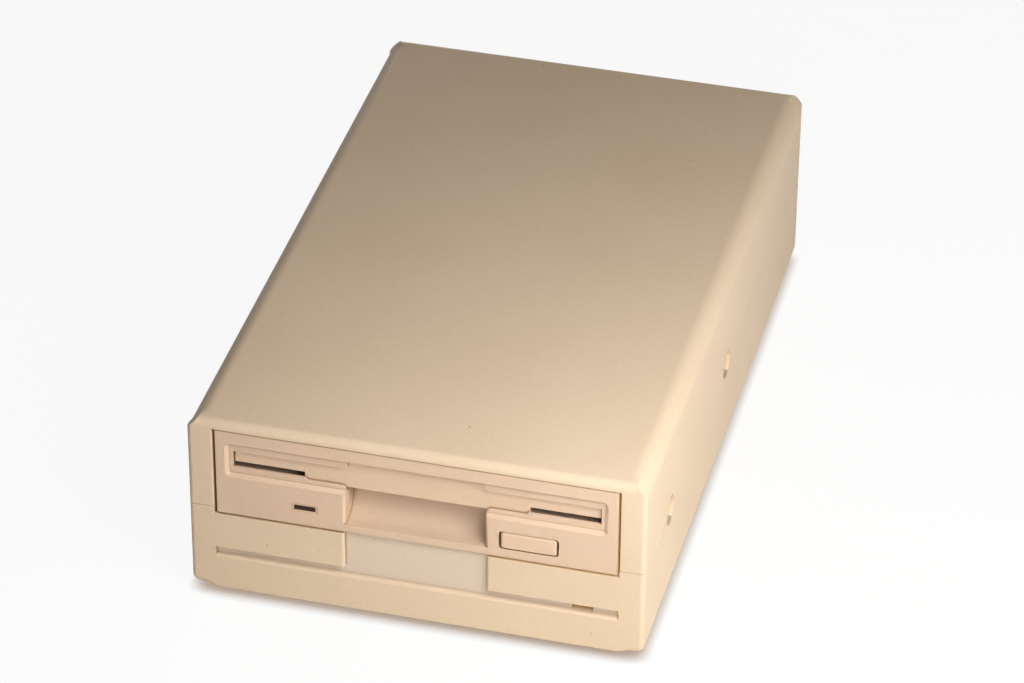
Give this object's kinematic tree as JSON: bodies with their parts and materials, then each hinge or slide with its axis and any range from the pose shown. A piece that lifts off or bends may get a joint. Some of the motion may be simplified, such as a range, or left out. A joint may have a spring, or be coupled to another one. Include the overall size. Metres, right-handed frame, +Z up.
{
  "type": "external floppy disk drive",
  "caption": "Upright box of two ivory plastic shells around a slot-loading disk drive, with a dust flap, scooped finger notch, eject button and a socket at the back.",
  "frame": {"origin": "under the middle of the whole object, on the surface that its feet stand on", "axes": "+X to the right seen from the front, +Y from the front to the back, +Z up"},
  "size_m": [0.1156, 0.1918, 0.0525],
  "materials": {
    "case_abs": "warm ivory moulded ABS with a fine spark-eroded texture",
    "bezel_abs": "warm ivory moulded ABS, a little smoother than the case",
    "button_abs": "warm ivory moulded ABS, satin",
    "dark_lens": "smoked polycarbonate lens",
    "foot_rubber": "dark grey rubber, matt",
    "die_cast": "bare die-cast aluminium alloy",
    "sheet_steel": "zinc-plated sheet steel",
    "screw_steel": "nickel-plated steel",
    "spring_steel": "bright spring wire",
    "bronze": "sintered bronze",
    "circuit_board": "green solder mask on glass laminate",
    "black_plastic": "glass-filled black plastic",
    "white_plastic": "natural acetal",
    "ferrite": "sintered ferrite",
    "copper_winding": "enamelled copper on a laminated core",
    "ribbon_pvc": "grey PVC flat cable",
    "power_pvc": "PVC-insulated wires side by side"
  },
  "bodies": {
    "case": {"upper_shell": "case_abs", "lower_shell": "case_abs", "rubber_feet": "foot_rubber", "drive_screws": "screw_steel", "case_screws": "screw_steel", "interface_board": "circuit_board", "interface_board_screws": "screw_steel", "connector_shell": "sheet_steel", "connector_body": "black_plastic", "jack_posts": "screw_steel", "drive_bezel": "bezel_abs", "led_lens": "dark_lens", "led_holder": "black_plastic", "drive_chassis": "die_cast", "drive_cover": "sheet_steel", "cover_screws": "screw_steel", "slide_springs": "spring_steel", "motor_board": "circuit_board", "stator": "copper_winding", "spindle_bearing": "bronze", "guide_rods": "screw_steel", "stepper_motor": "sheet_steel", "screw_bearing": "bronze", "logic_board": "circuit_board", "logic_board_screws": "screw_steel", "board_chips": "black_plastic", "signal_header": "black_plastic", "power_header": "white_plastic", "board_headers": "black_plastic", "signal_plugs": "black_plastic", "power_plugs": "white_plastic", "ribbon_cable": "ribbon_pvc", "power_cable": "power_pvc", "track_sensor": "black_plastic", "switch_bodies": "black_plastic"},
    "flap": {"dust_flap": "button_abs", "flap_spring": "spring_steel"},
    "ejector": {"eject_button": "button_abs", "slide_plate": "sheet_steel"},
    "carrier": {"disk_carrier": "sheet_steel", "shutter_pivot": "screw_steel", "shutter_spring": "spring_steel"},
    "shutter_arm": {"shutter_lever": "sheet_steel"},
    "rotor": {"rotor_cup": "sheet_steel", "rotor_magnet": "ferrite", "spindle_shaft": "screw_steel", "drive_pin": "screw_steel"},
    "carriage": {"head_carriage": "white_plastic", "lower_head": "ferrite", "arm_hinge_pin": "screw_steel", "arm_spring": "spring_steel"},
    "head_arm": {"upper_arm": "sheet_steel", "upper_head": "ferrite"},
    "worm": {"lead_screw": "screw_steel"},
    "write_protect_pin": {"write_protect_plunger": "white_plastic"},
    "disk_in_pin": {"disk_in_plunger": "white_plastic"}
  },
  "joints": [
    {"name": "flap_hinge", "type": "hinge", "parent": "case", "child": "flap", "pos_m": [0, -0.09313, 0.0452], "axis": [1, 0, 0], "range_deg": [0, 80], "stiffness_Nm_per_rad": 0.0015, "springref_deg": -17.19},
    {"name": "eject_slide", "type": "slide", "parent": "case", "child": "ejector", "axis": [0, -1, 0], "range_m": [0, 0.006], "deforming": ["slide_springs"]},
    {"name": "carrier_drop", "type": "slide", "parent": "case", "child": "carrier", "axis": [0, 0, -1], "range_m": [0, 0.0025]},
    {"name": "shutter_swing", "type": "hinge", "parent": "carrier", "child": "shutter_arm", "pos_m": [0.04, -0.0194, 0.0442], "axis": [0, 0, -1], "range_deg": [0, 70], "stiffness_Nm_per_rad": 0.002, "springref_deg": -17.19},
    {"name": "spindle_spin", "type": "hinge", "parent": "case", "child": "rotor", "pos_m": [0, -0.0439, 0.0361], "axis": [0, 0, 1], "continuous": true},
    {"name": "carriage_slide", "type": "slide", "parent": "case", "child": "carriage", "axis": [0, -1, 0], "range_m": [0, 0.0148]},
    {"name": "screw_spin", "type": "hinge", "parent": "case", "child": "worm", "pos_m": [-0.0175, -0.0159, 0.0348], "axis": [0, 1, 0], "range_deg": [0, 1420.8]},
    {"name": "head_arm_hinge", "type": "hinge", "parent": "carriage", "child": "head_arm", "pos_m": [0, 0.0226, 0.0421], "axis": [1, 0, 0], "range_deg": [0, 9]},
    {"name": "write_protect_press", "type": "slide", "parent": "case", "child": "write_protect_pin", "axis": [0, 0, -1], "range_m": [0, 0.0016], "stiffness_N_per_m": 150, "springref_m": -0.001},
    {"name": "disk_in_press", "type": "slide", "parent": "case", "child": "disk_in_pin", "axis": [0, 0, -1], "range_m": [0, 0.0016], "stiffness_N_per_m": 150, "springref_m": -0.001}
  ],
  "couplings": [
    {"joint": "carrier_drop", "follows": "eject_slide", "ratio": 0.41667},
    {"joint": "head_arm_hinge", "follows": "eject_slide", "rad_per_m": 26.18},
    {"joint": "screw_spin", "follows": "carriage_slide", "rad_per_m": 1675.5}
  ]
}
